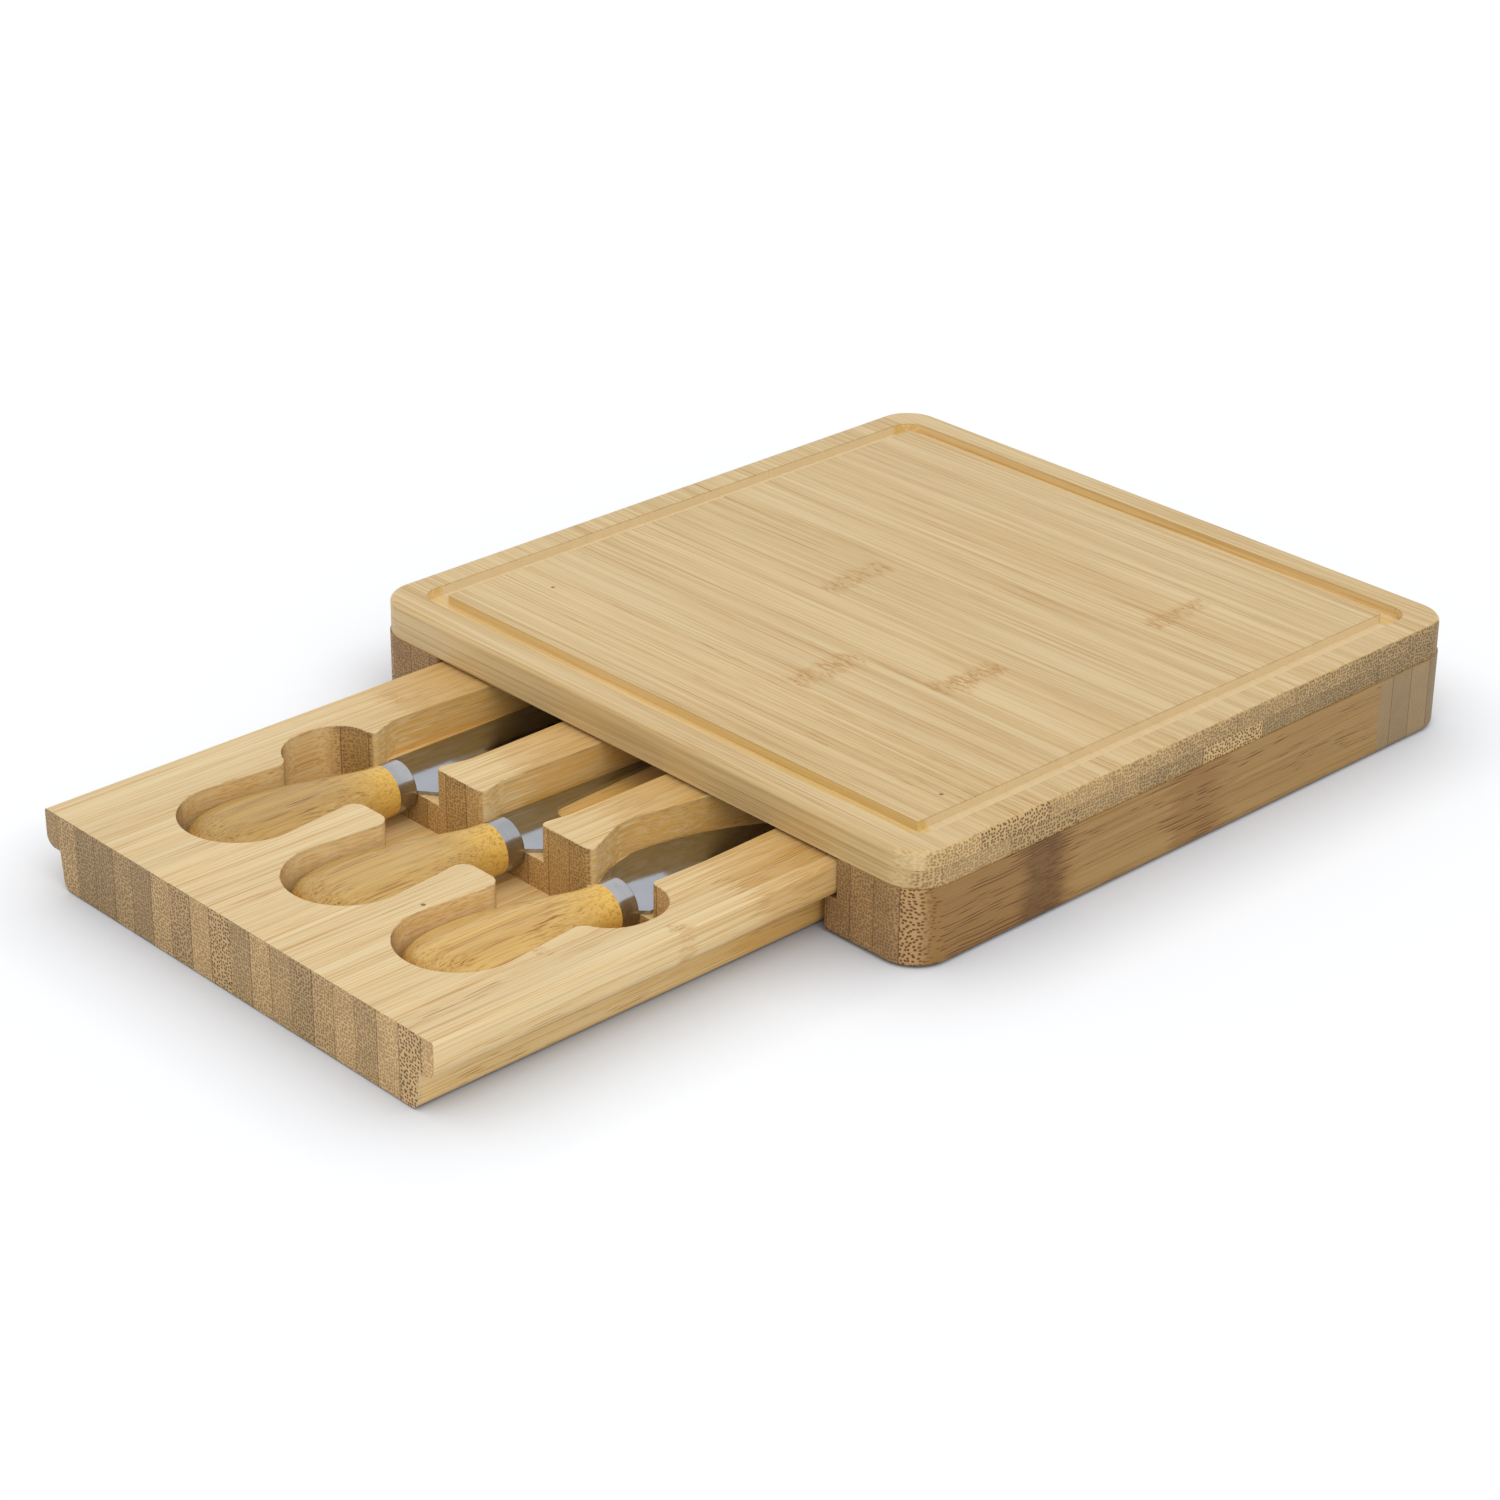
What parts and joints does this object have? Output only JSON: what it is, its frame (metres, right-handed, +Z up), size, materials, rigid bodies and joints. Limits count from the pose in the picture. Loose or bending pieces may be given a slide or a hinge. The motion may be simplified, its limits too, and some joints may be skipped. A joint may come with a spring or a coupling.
{
  "type": "cheese board",
  "caption": "Square bamboo cheese board with a juice groove and a slide-out drawer that holds a chisel knife, a fork and a curved knife in shaped pockets.",
  "frame": {"origin": "under the middle of the whole object as it stands with the drawer out, on the table plane", "axes": "+Z up; the drawer comes out towards -Y; +X to the right seen from the drawer's front"},
  "size_m": [0.23, 0.3682, 0.035],
  "materials": {
    "board_bamboo": "satin oiled bamboo",
    "underlayer_bamboo": "satin oiled bamboo, end grain at the sides",
    "frame_bamboo": "satin oiled bamboo",
    "drawer_bamboo": "satin bamboo",
    "handle_wood": "satin oiled wood",
    "ferrule_steel": "polished band",
    "blade_steel": "mirror polished stainless steel"
  },
  "bodies": {
    "board": {"back_rail_lamella_1": "frame_bamboo", "back_rail_lamella_2": "frame_bamboo", "back_rail_lamella_3": "frame_bamboo", "back_rail_lamella_4": "frame_bamboo", "left_rail_lamella_1": "frame_bamboo", "left_rail_lamella_2": "frame_bamboo", "left_rail_lamella_3": "frame_bamboo", "left_rail_lamella_4": "frame_bamboo", "lower_strip_1": "underlayer_bamboo", "lower_strip_10": "underlayer_bamboo", "lower_strip_2": "underlayer_bamboo", "lower_strip_3": "underlayer_bamboo", "lower_strip_4": "underlayer_bamboo", "lower_strip_5": "underlayer_bamboo", "lower_strip_6": "underlayer_bamboo", "lower_strip_7": "underlayer_bamboo", "lower_strip_8": "underlayer_bamboo", "lower_strip_9": "underlayer_bamboo", "right_rail_lamella_1": "frame_bamboo", "right_rail_lamella_2": "frame_bamboo", "right_rail_lamella_3": "frame_bamboo", "right_rail_lamella_4": "frame_bamboo", "upper_strip_1": "board_bamboo", "upper_strip_2": "board_bamboo", "upper_strip_3": "board_bamboo", "upper_strip_4": "board_bamboo", "upper_strip_5": "board_bamboo", "upper_strip_6": "board_bamboo", "upper_strip_7": "board_bamboo", "upper_strip_8": "board_bamboo", "upper_strip_9": "board_bamboo"},
    "drawer": {"belly_knife_blade": "blade_steel", "belly_knife_ferrule": "ferrule_steel", "belly_knife_handle": "handle_wood", "chisel_blade": "blade_steel", "chisel_ferrule": "ferrule_steel", "chisel_handle": "handle_wood", "drawer_lamella_1": "drawer_bamboo", "drawer_lamella_10": "drawer_bamboo", "drawer_lamella_11": "drawer_bamboo", "drawer_lamella_12": "drawer_bamboo", "drawer_lamella_13": "drawer_bamboo", "drawer_lamella_14": "drawer_bamboo", "drawer_lamella_15": "drawer_bamboo", "drawer_lamella_16": "drawer_bamboo", "drawer_lamella_17": "drawer_bamboo", "drawer_lamella_18": "drawer_bamboo", "drawer_lamella_19": "drawer_bamboo", "drawer_lamella_2": "drawer_bamboo", "drawer_lamella_20": "drawer_bamboo", "drawer_lamella_3": "drawer_bamboo", "drawer_lamella_4": "drawer_bamboo", "drawer_lamella_5": "drawer_bamboo", "drawer_lamella_6": "drawer_bamboo", "drawer_lamella_7": "drawer_bamboo", "drawer_lamella_8": "drawer_bamboo", "drawer_lamella_9": "drawer_bamboo", "fork_blade": "blade_steel", "fork_ferrule": "ferrule_steel", "fork_handle": "handle_wood"}
  },
  "joints": [
    {"name": "drawer_slide", "type": "slide", "parent": "board", "child": "drawer", "axis": [0, -1, 0], "range_m": [-0.1382, 0.022]}
  ]
}
